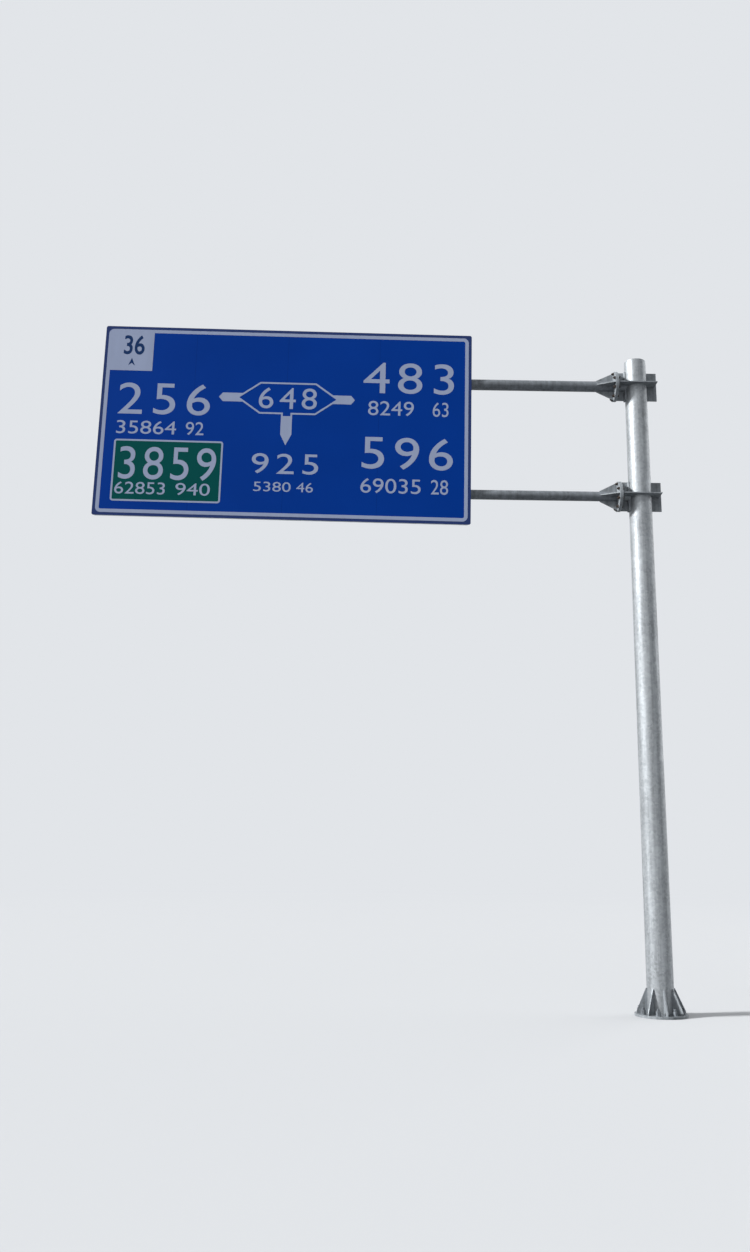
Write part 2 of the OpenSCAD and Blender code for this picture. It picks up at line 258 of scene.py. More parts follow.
def panel_sheet(add, spot, blue, edge, bare):
    """Aluminium sheet with blue retroreflective film on its face. To the eye the face is a
    deep, even blue with a low gloss, a hairline at each seam between panels and a dull, dirty
    rim outside the border, and the back and the edges are bare, dull aluminium."""
    cloud = add("TexNoise", spot, Scale=per(900), Detail=4, Roughness=0.55)
    fade = add("MapRange", cloud, From_Min=0.3, From_Max=0.75, To_Max=0.55)
    film = add("Mix", fade, A=shade(blue, 0.95), B=shade(blue, 1.15), data_type="RGBA")
    # Places along, through and up the leaning sign, from its middle, which is also a seam
    level = add("Mapping", spot, Location=SIGN_MIDDLE, Rotation=(0, SIGN_TILT, 0),
                vector_type="TEXTURE")
    place = add("SeparateXYZ", level).outputs
    from_seam = add("Math", place["X"], PANEL_W / 2, operation="PINGPONG")
    # A seam is under 1 mm wide, and its shade is drawn 5 mm wide so that it just shows
    hairline = add("MapRange", from_seam, From_Min=1.5 * MM, From_Max=2.5 * MM, To_Min=0.7,
                   To_Max=0)
    seamed = add("Mix", hairline, A=film, B=shade(blue, 0.55), data_type="RGBA")
    past = []
    for axis, size in (("X", SIGN_W), ("Z", SIGN_H)):
        reach = add("Math", place[axis], operation="ABSOLUTE")
        past.append(add("Math", reach, size / 2, operation="SUBTRACT"))
    to_edge = add("Math", past[0], past[1], operation="MAXIMUM")
    # The rim is dirty from the edge to the middle of the border, which hides where it ends
    dirt = add("MapRange", to_edge, From_Min=-55 * MM, From_Max=-45 * MM)
    rimmed = add("Mix", dirt, A=seamed, B=(*edge, 1), data_type="RGBA")
    oxide = add("TexNoise", spot, Scale=per(220), Detail=5, Roughness=0.6)
    dull = add("Mix", oxide, A=shade(bare, 0.8), B=shade(bare, 1.15), data_type="RGBA")
    # The film covers only what lies within half a millimetre of the face
    film_to = SIGN_FACE_Y + 0.5 * MM - SIGN_MIDDLE.y
    on_face = add("Math", place["Y"], film_to, operation="LESS_THAN")
    body = add("Mix", on_face, A=dull, B=rimmed, data_type="RGBA")
    metal = add("Math", 0.85, on_face, operation="SUBTRACT", use_clamp=True)
    gloss = add("MapRange", cloud, To_Min=0.38, To_Max=0.5)
    return add("BsdfPrincipled", Base_Color=body, Roughness=gloss, Normal=film_cells(add, spot),
               Metallic=metal, Specular_IOR_Level=0.05)


def bolt_steel(add, spot, colour, rust):
    """High-strength bolt steel, its black skin browned by rust. To the eye it is a dark,
    dull metal with warm brown in patches and no clear reflections."""
    stain = add("TexNoise", spot, Scale=per(14), Detail=6, Roughness=0.7)
    share = add("MapRange", stain, From_Min=0.42, From_Max=0.62)
    body = add("Mix", share, A=(*colour, 1), B=(*rust, 1), data_type="RGBA")
    gloss = add("MapRange", share, To_Min=0.5, To_Max=0.85)
    bump = add("Bump", Height=stain, Strength=0.4, Distance=0.3 * MM)
    return add("BsdfPrincipled", Base_Color=body, Roughness=gloss, Normal=bump, Metallic=0.55)


# Finishes


class FinishColours(bpy.types.PropertyGroup):
    """Colours of the finishes."""
    mast_zinc: colour_property("Mast zinc", "Galvanised steel of the mast", "#929699")
    # Painted shade: the arms are galvanised like the mast, and their zinc is drawn darker to stand in
    # for the shade they lie in
    arm_zinc: colour_property("Arm zinc", "Duller steel of the arms", "#6f7479")
    plate_zinc: colour_property("Plate zinc", "Steel of the joints and the base", "#83888c")
    weld: colour_property("Weld", "Zinc over the weld beads", "#7d8286")
    aluminium: colour_property("Aluminium", "Rails, edging and the backs of panels", "#b4b8bc")
    blue: colour_property("Blue film", "The sign's blue face", "#00358c")
    rim: colour_property("Dirty rim", "The blue face outside the white border", "#2b3b6a")
    # Painted shade: the white film is drawn a dim grey-blue, as white film looks in shade under a blue
    # sky, rather than its own white
    white: colour_property("White film", "The sign's border and numbers", "#97a2bd")
    green: colour_property("Green film", "The sign's green panel", "#004a48")
    navy: colour_property("Navy film", "Number and arrowhead of the corner panel", "#1b3560")
    bolt: colour_property("Bolt steel", "Black skin of the flange bolts", "#2e2b2b")
    rust: colour_property("Rust", "Rust on the flange bolts", "#4a3a30")


# The record's slot of each finish, the function that draws it and gives its shader, and the
# colours and values for that function
Finish = namedtuple("Finish", "slot draw colours values", defaults=({},))
FINISHES = {
    "bright_zinc": Finish("galvanised_steel", zinc, ["mast_zinc"], {"chalk_from": 0.6, "metal": 0.6}),
    # Painted shade: darker than the mast's zinc to stand in for shade, and dull, with little of it
    # counting as metal
    "old_zinc": Finish("galvanised_steel", zinc, ["arm_zinc"], {"chalk_from": 0.62, "metal": 0.15}),
    "plate_zinc": Finish("galvanised_steel", zinc, ["plate_zinc"], {"chalk_from": 0.62, "metal": 0.15}),
    "weld_zinc": Finish("galvanised_steel", zinc, ["weld"], {"chalk_from": 0.6, "metal": 0.3}),
    "aluminium": Finish("mill_aluminium", mill_aluminium, ["aluminium"]),
    "blue_panel": Finish("blue_sheeting", panel_sheet, ["blue", "rim", "aluminium"]),
    # Painted shade: the white film's colour is dimmed and tinted blue to stand in for shade
    "white_film": Finish("white_sheeting", beaded_film, ["white"]),
    "green_film": Finish("green_sheeting", beaded_film, ["green"]),
    "navy_film": Finish("blue_sheeting", beaded_film, ["navy"]),
    "bolt_steel": Finish("bolt_steel", bolt_steel, ["bolt", "rust"]),
}


def finish(name):
    """The material of this finish, made the first time it is asked for."""
    if name not in bpy.data.materials:
        add = new_tree(bpy.data.materials.new(name))
        spot = add("TexCoord").outputs["Object"]
        made = FINISHES[name]
        colours = [getattr(bpy.context.scene.gantry_colours, key) for key in made.colours]
        shader = made.draw(add, spot, *colours, **made.values)
        add("OutputMaterial", shader)
    return bpy.data.materials[name]


def dress(piece, material):
    """Gives a piece or a CAD node one material through its slots."""
    if not piece.material_slots:
        piece.data.materials.append(material)
    for slot in piece.material_slots:
        slot.material = material


class GANTRY_OT_finishes(bpy.types.Operator):
    """Gives every CAD node the finish of its real material"""
    bl_idname = "gantry.finishes"
    bl_label = "Finishes"

    def execute(self, context):
        for name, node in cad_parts.items():
            dress(node, finish(self.finish_of(name)))
        return {"FINISHED"}

    def finish_of(self, name):
        if name in PANELS:
            return "blue_panel"
        if name.startswith(("rail", "edging", "seam")) or name.endswith("saddles"):
            return "aluminium"
        if name.startswith("mast"):
            return "bright_zinc"
        # The arm tubes and caps take the darker zinc, whose darkness is painted shade
        return "old_zinc" if name.endswith(("arm_tube", "arm_cap")) else "plate_zinc"


# Modelling


def deselect():
    bpy.ops.object.select_all(action="DESELECT")


def named(name):
    """Names the active piece and its mesh."""
    piece = bpy.context.object
    piece.name = piece.data.name = name
    return piece


def open_mesh():
    """Applies the active piece's place to its mesh and opens it in edit mode."""
    bpy.ops.object.transform_apply(location=True, rotation=True, scale=True)
    bpy.ops.object.mode_set(mode="EDIT")


def shut_mesh():
    """Leaves edit mode and gives the piece."""
    bpy.ops.object.mode_set(mode="OBJECT")
    return bpy.context.object


def start_piece(primitive, stretch=(1, 1, 1), **settings):
    """Adds a primitive as the only selected object, stretches it and opens its mesh."""
    deselect()
    getattr(bpy.ops.mesh, f"primitive_{primitive}_add")(**settings)
    bpy.context.object.scale = stretch
    open_mesh()


def start_cylinder(vertices, radius, low, height):
    """Starts an upright cylinder on the Z axis, from this level up."""
    start_piece("cylinder", vertices=vertices, radius=radius, depth=height,
                location=(0, 0, low + height / 2))


def pick_all():
    bpy.ops.mesh.select_mode(type="VERT")
    bpy.ops.mesh.select_all(action="SELECT")


def pick(kind, test):
    """Selects only the verts, edges or faces of the open mesh that pass the test."""
    bpy.ops.mesh.select_mode(type={"verts": "VERT", "edges": "EDGE", "faces": "FACE"}[kind])
    bpy.ops.mesh.select_all(action="DESELECT")
    mesh = bmesh.from_edit_mesh(bpy.context.object.data)
    for part in getattr(mesh, kind):
        if test(part):
            part.select_set(True)
    bmesh.update_edit_mesh(bpy.context.object.data)


def pick_top():
    pick("faces", lambda f: f.normal.z > 0.9)


def pick_uprights():
    pick("edges", lambda e: not near(e.verts[0].co.z, e.verts[1].co.z))


def edge_middle(edge):
    return (edge.verts[0].co + edge.verts[1].co) / 2


def extrude(x=0.0, y=0.0, z=0.0):
    bpy.ops.mesh.extrude_region_move(TRANSFORM_OT_translate={"value": (x, y, z)})


def extrude_to_point(x=0.0, y=0.0):
    extrude(x, y)
    bpy.ops.mesh.merge(type="CENTER")


def bend_edge(across, up, x=0.0, y=0.0):
    """Splits the flat piece's edge whose middle is here, and moves that middle."""
    pick("edges", lambda e: near(edge_middle(e).x, across) and near(edge_middle(e).y, up))
    bpy.ops.mesh.subdivide(number_cuts=1)
    pick("verts", lambda v: near(v.co.x, across) and near(v.co.y, up))
    bpy.ops.transform.translate(value=(x, y, 0))


def narrow(share, level):
    """Scales what is selected towards the Z axis at this level."""
    bpy.ops.transform.resize(value=(share, share, 1), center_override=(0, 0, level))


def apply_modifier(kind, **settings):
    """Adds a modifier to the active piece, sets it and applies it."""
    bpy.ops.object.modifier_add(type=kind)
    modifier = bpy.context.object.modifiers[-1]
    for name, value in settings.items():
        setattr(modifier, name, value)
    bpy.ops.object.modifier_apply(modifier=modifier.name)


def join(pieces, name):
    """Joins pieces into one mesh."""
    deselect()
    for piece in pieces:
        piece.select_set(True)
    bpy.context.view_layer.objects.active = pieces[0]
    if len(pieces) > 1:
        bpy.ops.object.join()
    return named(name)


def hand_over(piece, look):
    """Finishes a piece: its finish and the body it rides on."""
    dress(piece, finish(look))
    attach(piece, BODY)
    piece.select_set(False)


def repeat(parts, places, name, look):
    """Joins parts into a model, copies its mesh to each place and hands the copies over as one."""
    model = join(parts, "model")
    copies = []
    for place in places:
        twin = model.copy()
        twin.data = model.data.copy()
        twin.data.transform(place)
        bpy.context.collection.objects.link(twin)
        copies.append(twin)
    bpy.data.objects.remove(model)
    hand_over(join(copies, name), look)


# Film on the sign


class FilmSizes(bpy.types.PropertyGroup):
    """Sizes of the film on the sign's face."""
    thickness: length_property("Film thickness", "Thickness of one layer of film", 0.4)
    margin: length_property("Margin", "Blue margin outside the white border", 36)
    border: length_property("Border", "Width of the white border", 42)
    border_corner: length_property("Border corner", "Outer radius of the border's corners", 62)
    outline: length_property("Outline", "Width of the thin outlines on the face", 21)


def start_rectangle(width, height, across, up, corner=0.0, corner_steps=6):
    """Starts a flat rectangle in the drawing plane, with round corners if it has any."""
    start_piece("plane", (width, height, 1), size=1, location=(across, up, 0))
    if corner:
        pick_all()
        bpy.ops.mesh.bevel(offset=corner, segments=corner_steps, affect="VERTICES")


def hollow_out(line):
    """Leaves only a line of this width round the open flat piece."""
    pick_all()
    bpy.ops.mesh.inset(thickness=line, use_even_offset=True)
    bpy.ops.mesh.delete(type="FACE")


# By default a piece of film is the white film, drawn with painted shade
def lay_film(name, layer, look="white_film"):
    """Thickens the flat active piece, layer by layer over what it laps, and lays it on the sign."""
    shut_mesh()
    thickness = bpy.context.scene.gantry_film.thickness
    apply_modifier("SOLIDIFY", thickness=thickness * (layer + 1), offset=1)
    piece = named(name)
    piece.data.transform(SIGN_PLACE)
    hand_over(piece, look)


def draw_number(digits, across, up, height, width=0.0, squeeze=1.0, weight=0.0):
    """Flat plain numerals of this height round a middle. Their width is given, or else their
    own times the squeeze. The weight sets their outlines out, in shares of the type's size."""
    deselect()
    bpy.ops.object.text_add()
    bpy.context.object.data.body = digits
    bpy.context.object.data.offset = weight
    bpy.ops.object.convert(target="MESH")
    bpy.ops.object.shade_flat()
    open_mesh()
    pick_all()
    bpy.ops.mesh.remove_doubles(threshold=0.05 * MM)
    numeral = shut_mesh()
    xs, ys = zip(*(v.co.xy for v in numeral.data.vertices))
    wide, tall = max(xs) - min(xs), max(ys) - min(ys)
    centred = moved(-(min(xs) + max(xs)) / 2, -(min(ys) + max(ys)) / 2)
    # In two steps, because the rounding of a single one turns a sliver in an 8 over
    numeral.data.transform(Matrix.Scale(1 / tall, 4) @ centred)
    grow = width * tall / wide if width else height * squeeze
    numeral.data.transform(moved(across, up) @ Matrix.Diagonal((grow, height, 1, 1)))
    return numeral


# A row of large numerals with a line of small numbers under it, in millimetres: the middle of
# the row, the height and the pitch of its numerals, their width against the type's own, and
# for each small number its digits, middle and length, with the level and height of their line
Legend = namedtuple("Legend", "name digits across up tall pitch squeeze small small_up small_tall")
LEGENDS = (
    Legend("legend_left", "256", -1445, 268, 394, 403, 1.16,
           (("35864", -1638, 705), ("92", -1067, 212)), -96, 165),
    Legend("legend_diagram", "648", 15, 318, 266, 257, 1.08, (), 0, 0),
    Legend("legend_ahead", "925", 19, -505, 250, 296, 1.3,
           (("5380", -124, 436), ("46", 257, 194)), -791, 118),
    Legend("legend_right_top", "483", 1467, 614, 392, 403, 1.19,
           (("8249", 1244, 543), ("63", 1834, 187)), 226, 182),
    Legend("legend_right_low", "596", 1445, -338, 396, 400, 1.18,
           (("69035", 1260, 705), ("28", 1832, 202)), -744, 180),
)
GREEN_LEGEND = Legend("legend_green", "3859", -1369, -540, 404, 309, 0.92,
                      (("62853", -1664, 588), ("940", -1047, 402)), -850, 148)


def draw_legend(legend, layer):
    """The large numerals of a legend as one piece, and its small numbers as another."""
    first = legend.across - (len(legend.digits) - 1) / 2 * legend.pitch
    large = [draw_number(digit, (first + i * legend.pitch) * MM, legend.up * MM, legend.tall * MM,
                         squeeze=legend.squeeze) for i, digit in enumerate(legend.digits)]
    small = [draw_number(digits, across * MM, legend.small_up * MM, legend.small_tall * MM, width * MM)
             for digits, across, width in legend.small]
    for size, numerals in (("large", large), ("small", small)):
        if numerals:
            join(numerals, legend.name)
            lay_film(f"{legend.name}_{size}", layer)


class GANTRY_OT_border(bpy.types.Operator):
    """Lays the white border round the sign's face"""
    bl_idname = "gantry.border"
    bl_label = "Border"

    def execute(self, context):
        sizes = context.scene.gantry_film
        start_rectangle(SIGN_W - 2 * sizes.margin, SIGN_H - 2 * sizes.margin, 0, 0,
                        sizes.border_corner, 8)
        hollow_out(sizes.border)
        lay_film("border", 0)
        return {"FINISHED"}


class GANTRY_OT_corner_panel(bpy.types.Operator):
    """Lays the white panel with its arrowhead in the sign's top left corner"""
    bl_idname = "gantry.corner_panel"
    bl_label = "Corner panel"

    # Right and lower edge of the panel, and the arrowhead's middle, size and notch
    right, low = -1618 * MM, 621 * MM
    head_across, head_up, head_w, head_h, notch = -1869 * MM, 733 * MM, 82 * MM, 98 * MM, 34 * MM
    number = {"across": -1850 * MM, "up": 952 * MM, "height": 250 * MM, "width": 246 * MM,
              "weight": 0.015}

    def execute(self, context):
        sizes = context.scene.gantry_film
        # The panel laps half of the border, so that its corner stays inside the border's round
        inset = sizes.margin + sizes.border / 2
        left, top = inset - SIGN_W / 2, SIGN_H / 2 - inset
        start_rectangle(self.right - left, top - self.low,
                        (self.right + left) / 2, (top + self.low) / 2)
        lay_film("corner_panel", 1)
        # A triangle of radius 1 is 1.5 high and the root of 3 wide, with its point upwards
        start_piece("circle", (self.head_w / math.sqrt(3), self.head_h / 1.5, 1), vertices=3,
                    radius=1, fill_type="NGON",
                    location=(self.head_across, self.head_up - self.head_h / 6, 0))
        bend_edge(self.head_across, self.head_up - self.head_h / 2, y=self.notch)
        lay_film("corner_arrowhead", 2, "navy_film")
        draw_number("36", **self.number)
        lay_film("corner_number", 2, "navy_film")
        return {"FINISHED"}


class GANTRY_OT_green_panel(bpy.types.Operator):
    """Lays the green panel with its outline and its numbers"""
    bl_idname = "gantry.green_panel"
    bl_label = "Green panel"

    width, height, across, up, corner = 1282 * MM, 764 * MM, -1362 * MM, -630 * MM, 34 * MM

    def execute(self, context):
        shape = (self.width, self.height, self.across, self.up, self.corner)
        start_rectangle(*shape)
        lay_film("green_panel", 0, "green_film")
        start_rectangle(*shape)
        hollow_out(context.scene.gantry_film.outline)
        lay_film("green_panel_outline", 1)
        draw_legend(GREEN_LEGEND, 1)
        return {"FINISHED"}


class GANTRY_OT_diagram(bpy.types.Operator):
    """Lays the crossing diagram: a six-sided outline and three arrows"""
    bl_idname = "gantry.diagram"
    bl_label = "Crossing diagram"

    # Middle of the outline, its half height, half the length of its level sides and of the whole
    across, up = 16 * MM, 317 * MM
    half_height, half_flat, half_length = 202 * MM, 332 * MM, 613 * MM
    # Reach of the side arrows from the middle of the outline, their width and their point
    left_reach, right_reach, side_width, side_point = 819 * MM, 797 * MM, 110 * MM, 45 * MM
    # The arrow ahead: its middle, width, shoulder and tip, and the foot of the slot in its root
    ahead_across, ahead_width = 9 * MM, 132 * MM
    shoulder_up, tip_up, slot_up = -138 * MM, -273 * MM, 93 * MM

    def execute(self, context):
        line = context.scene.gantry_film.outline
        self.outline(line)
        lay_film("diagram_outline", 1)
        for side, reach, turn in (("left", self.left_reach, math.pi), ("right", self.right_reach, 0)):
            self.side_arrow(reach, line)
            shut_mesh().data.transform(moved(self.across, self.up) @ turned(turn, "Z"))
            lay_film(f"diagram_arrow_{side}", 0)
        self.arrow_ahead(line)
        lay_film("diagram_arrow_ahead", 0)
        return {"FINISHED"}

    def cut_slot(self, line):
        """Cuts the open mesh along both sides of the slot and gives half the slot's width."""
        slot = self.ahead_width / 2 - line
        for side in (-slot, slot):
            pick_all()
            bpy.ops.mesh.bisect(plane_co=(self.ahead_across + side, 0, 0), plane_no=(1, 0, 0))
        return slot

    def outline(self, line):
        start_rectangle(2 * self.half_flat, 2 * self.half_height, self.across, self.up)
        for way in (-1, 1):
            end = self.across + way * self.half_flat
            pick("edges", lambda e: near(edge_middle(e).x, end))
            extrude_to_point(x=way * (self.half_length - self.half_flat))
        hollow_out(line)
        # The lower side is open where the arrow ahead joins it
        slot = self.cut_slot(line)
        pick("faces", lambda f: abs(f.calc_center_median().x - self.ahead_across) < slot
             and f.calc_center_median().y < self.up)
        bpy.ops.mesh.delete(type="FACE")

    def side_arrow(self, reach, line):
        """An arrow to the right of the outline's middle."""
        # Its root follows the middle of the outline's line round the corner
        slope = math.atan2(self.half_height, self.half_length - self.half_flat)
        corner = self.half_length - line / 2 / math.sin(slope)
        root = corner - self.side_width / 2 / math.tan(slope)
        shoulder = reach - self.side_point
        start_rectangle(shoulder - root, self.side_width, (shoulder + root) / 2, 0)
        pick("edges", lambda e: near(edge_middle(e).x, shoulder))
        extrude_to_point(x=self.side_point)
        bend_edge(root, 0, x=corner - root)

    def arrow_ahead(self, line):
        start_rectangle(self.ahead_width, self.slot_up - self.shoulder_up,
                        self.ahead_across, (self.slot_up + self.shoulder_up) / 2)
        slot = self.cut_slot(line)
        # Two cheeks rise beside the slot and meet the outline's lower side
        pick("edges", lambda e: near(edge_middle(e).y, self.slot_up)
             and abs(edge_middle(e).x - self.ahead_across) > slot)
        extrude(y=self.up - self.half_height + line / 2 - self.slot_up)
        pick("edges", lambda e: near(edge_middle(e).y, self.shoulder_up))
        extrude_to_point(y=self.tip_up - self.shoulder_up)


class GANTRY_OT_legends(bpy.types.Operator):
    """Lays the rows of plain numbers on the blue face"""
    bl_idname = "gantry.legends"
    bl_label = "Legends"

    def execute(self, context):
        for legend in LEGENDS:
            draw_legend(legend, 0)
        return {"FINISHED"}


# Fasteners, each modelled upright from the origin before it is copied to its places


class FastenerSizes(bpy.types.PropertyGroup):
    """Sizes of the bolts, studs and rivets, and of the weld beads."""
    flange_bolt: length_property("Flange bolt", "Diameter of the bolts through the arm flanges", 20)
    anchor_stud: length_property("Anchor stud", "Diameter of the anchor studs", 30)
    clamp_bolt: length_property("Clamp bolt", "Diameter of the bolts through the clamps", 12)
    rivet_head: length_property("Rivet head", "Diameter of a rivet's head", 10)
    rivet_pitch: length_property("Rivet pitch", "Distance between two rivets in a row", 150)
    bead: length_property("Weld bead", "Radius of a weld bead", 5)


# Thickness and radius of a washer, thickness of a nut, a lock nut and a head, and their width
# across flats, in diameters of the bolt
WASHER, WASHER_R, NUT, LOCK_NUT, HEAD, FLATS = 0.15, 0.92, 0.85, 0.6, 0.65, 1.5
# Chamfers of a washer and of a nut or head, against their thickness, and width above the latter
WASHER_CHAMFER, CHAMFER, CHAMFERED = 0.3, 0.16, 0.88
# Pitch of a thread in diameters, and width at the root against the crest
THREAD, GROOVE = 0.125, 0.86


def hexagon_block(low, thick, flats):
    """A hexagon head or nut with chamfered corners on top."""
    start_cylinder(6, flats / math.sqrt(3), low, thick * (1 - CHAMFER))
    pick_top()
    extrude(z=thick * CHAMFER)
    narrow(CHAMFERED, low + thick)
    return shut_mesh()


def round_washer(low, thick, radius):
    start_cylinder(32, radius, low, thick)
    pick("edges", lambda e: all(v.co.z > low + thick / 2 for v in e.verts))
    bpy.ops.mesh.bevel(offset=thick * WASHER_CHAMFER, segments=1)
    return shut_mesh()


def washer_and_hexagon(low, diameter, thick):
    """A washer with a nut or head of this thickness on it, and the level of its top."""
    rest = low + diameter * WASHER
    pieces = [round_washer(low, diameter * WASHER, diameter * WASHER_R),
              hexagon_block(rest, diameter * thick, diameter * FLATS)]
    return pieces, rest + diameter * thick


def threaded_rod(low, high, diameter, threaded):
    """A round rod whose last stretch is threaded and whose tip is chamfered."""
    level = high - threaded
    start_cylinder(20, diameter / 2, low, level - low)
    pick_top()
    turns = max(2, round(threaded / (diameter * THREAD)))
    step = threaded / turns / 2
    # Roots and crests in turn, but no crest at the tip
    for share in [GROOVE, 1 / GROOVE] * (turns - 1) + [GROOVE, 1]:
        level += step
        extrude(z=step)
        narrow(share, level)
    return shut_mesh()


def nut_on_rod(low, seat, diameter, stand, thread):
    """A rod from its low end up, with a washer and nut on their seat, and the level of the
    nut's top. How far the rod stands out of the nut and is threaded are in its diameters."""
    nut, top = washer_and_hexagon(seat, diameter, NUT)
    rod = threaded_rod(low, top + diameter * stand, diameter, diameter * thread)
    return [*nut, rod], top


class GANTRY_OT_flange_bolts(bpy.types.Operator):
    """Puts the bolts through the flanges that join each arm to its stub"""
    bl_idname = "gantry.flange_bolts"
    bl_label = "Flange bolts"

    count, circle = 8, 300 * MM

    def execute(self, context):
        d = context.scene.gantry_fasteners.flange_bolt
        for side in ARMS:
            grip = span(f"{side}_arm_flange").x + span(f"{side}_mast_flange").x
            parts, _ = nut_on_rod(-grip - d * WASHER, 0, d, stand=0.5, thread=0.9)
            head, _ = washer_and_hexagon(0, d, HEAD)
            for piece in head:
                piece.data.transform(moved(z=-grip) @ turned(math.pi, "X"))
            # Nuts point away from the mast, along the arm
            face = moved(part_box(f"{side}_arm_flange")[0].x, 0, arm_z(side))
            places = [face @ turned((i + 0.5) * math.tau / self.count, "X") @ moved(z=self.circle / 2)
                      @ turned(-math.pi / 2, "Y") for i in range(self.count)]
            repeat([*parts, *head], places, f"{side}_flange_bolts", "bolt_steel")
        return {"FINISHED"}


class GANTRY_OT_anchor_nuts(bpy.types.Operator):
    """Puts the anchor studs with their nuts and washers in the base flange"""
    bl_idname = "gantry.anchor_nuts"
    bl_label = "Anchor nuts"

    count, circle = 8, 460 * MM
    # Each pair of nuts came to rest turned by this from the pair before
    rest_turn = 0.7

    def execute(self, context):
        d = context.scene.gantry_fasteners.anchor_stud
        parts, top = nut_on_rod(0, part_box("base_flange")[1].z, d, stand=1.4, thread=0.85)
        lock_nut = hexagon_block(top, d * LOCK_NUT, d * FLATS)
        places = [turned((i + 0.5) * math.tau / self.count, "Z") @ moved(self.circle / 2)
                  @ turned(i * self.rest_turn, "Z") for i in range(self.count)]
        # The anchor nuts take the darker zinc, whose darkness is painted shade
        repeat([*parts, lock_nut], places, "anchor_nuts", "old_zinc")
        return {"FINISHED"}


class GANTRY_OT_clamp_bolts(bpy.types.Operator):
    """Puts a bolt with its nut through each ear of the clamps behind the sign"""
    bl_idname = "gantry.clamp_bolts"
    bl_label = "Clamp bolts"

    head_size, head_corner, rail_wall = (34 * MM, 16 * MM, 8 * MM), 3 * MM, 4 * MM

    def execute(self, context):
        d = context.scene.gantry_fasteners.clamp_bolt
        for side in ARMS:
            low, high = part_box(f"{side}_straps")
            # A strap stands proud of the arm by its thickness, and its ears are as thick
            ear_face = low.y + high.y - arm_r(side)
            ear_up = (arm_r(side) + (high.z - low.z) / 2) / 2
            head_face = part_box(RAILS[0])[1].y - self.rail_wall - ear_face
            parts, _ = nut_on_rod(head_face, 0, d, stand=0.6, thread=0.5)
            places = []
            for rail in map(middle, RAILS):
                across = rail.x + (arm_z(side) - rail.z) * math.tan(SIGN_TILT)
                places += [moved(across, ear_face, arm_z(side) + up) @ turned(-math.pi / 2, "X")
                           for up in (-ear_up, ear_up)]
            # The clamp bolts take the darker zinc, whose darkness is painted shade
            repeat([*parts, self.tee_head(head_face)], places, f"{side}_clamp_bolts", "old_zinc")
        return {"FINISHED"}

    def tee_head(self, top):
        """The head that turns crosswise inside a rail and pulls on its lips."""
        start_piece("cube", self.head_size, size=1, location=(0, 0, top - self.head_size[2] / 2))
        pick_uprights()
        bpy.ops.mesh.bevel(offset=self.head_corner, segments=2)
        return shut_mesh()


class GANTRY_OT_rivets(bpy.types.Operator):
    """Puts rows of rivets on the feet of the rails, the seam strips and the edging"""
    bl_idname = "gantry.rivets"
    bl_label = "Rivets"

    foot_t, strip_t = 4 * MM, 3 * MM
    # Distances of the rows from the middle of a rail, from a seam and from the sign's edge
    from_rail, from_seam, from_edge = 39 * MM, 15 * MM, 17 * MM
    # How far the rows stop short of a rail's ends and of the sign's sides
    from_rail_end, from_side = 60 * MM, 90 * MM
    # A head is cut off below this and flattened by this, in shares of its radius and height
    cut, flattened = 0.2, 0.5

    def execute(self, context):
        sizes = context.scene.gantry_fasteners
        back = SIGN_FACE_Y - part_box(RAILS[0])[0].y
        upright = self.spread(span(RAILS[0]).z - 2 * self.from_rail_end, sizes.rivet_pitch)
        level = self.spread(SIGN_W - 2 * self.from_side, sizes.rivet_pitch)
        rails = [(SIGN_FLAT @ middle(name)).x for name in RAILS]
        seams = [seam * PANEL_W - SIGN_W / 2 for seam in range(1, len(PANELS))]
        edge_x, edge_y = SIGN_W / 2 - self.from_edge, SIGN_H / 2 - self.from_edge
        spots = []
        for way in (-1, 1):
            columns = [(across + way * self.from_rail, self.foot_t) for across in rails]
            columns += [(across + way * self.from_seam, self.strip_t) for across in seams]
            columns.append((way * edge_x, self.strip_t))
            spots += [(across, up, back - on) for across, on in columns for up in upright]
            spots += [(across, way * edge_y, back - self.strip_t) for across in level]
        places = [SIGN_PLACE @ moved(*spot) @ turned(math.pi, "X") for spot in spots]
        repeat([self.draw_head(sizes.rivet_head / 2)], places, "sign_rivets", "aluminium")
        return {"FINISHED"}

    def spread(self, run, pitch):
        """Places along a run, centred, at about this pitch."""
        gaps = round(run / pitch)
        return [(i / gaps - 0.5) * run for i in range(gaps + 1)]

    def draw_head(self, radius):
        """A low dome on a flat foot."""
        start_piece("uv_sphere", segments=10, ring_count=6, radius=radius)
        foot = radius * self.cut
        pick_all()
        bpy.ops.mesh.bisect(plane_co=(0, 0, foot), plane_no=(0, 0, 1), clear_inner=True, use_fill=True)
        pick_all()
        bpy.ops.transform.translate(value=(0, 0, -foot))
        bpy.ops.transform.resize(value=(1, 1, self.flattened), center_override=(0, 0, 0))
        return shut_mesh()


# Welds

# Length of a weld's puddles in radii of its bead, and radius of the straight beads at the
# joints against the round ones
PUDDLE, JOINT_BEAD = 1.4, 0.8


def straight_beads(place, runs, radius):
    """Weld beads along straight lines, each given by its two ends in the axes of a place."""
    beads = []
    for ends in runs:
        start, end = (place @ Vector(at) for at in ends)
        run = end - start
        start_piece("cylinder", vertices=6, radius=radius, depth=run.length)
        pick_uprights()
        bpy.ops.mesh.subdivide(number_cuts=max(1, int(run.length / (radius * PUDDLE))))
        bead = shut_mesh()
        turn = run.to_track_quat("Z", "Y").to_matrix().to_4x4()
        bead.data.transform(moved(*(start + end) / 2) @ turn)
        beads.append(bead)
    return beads


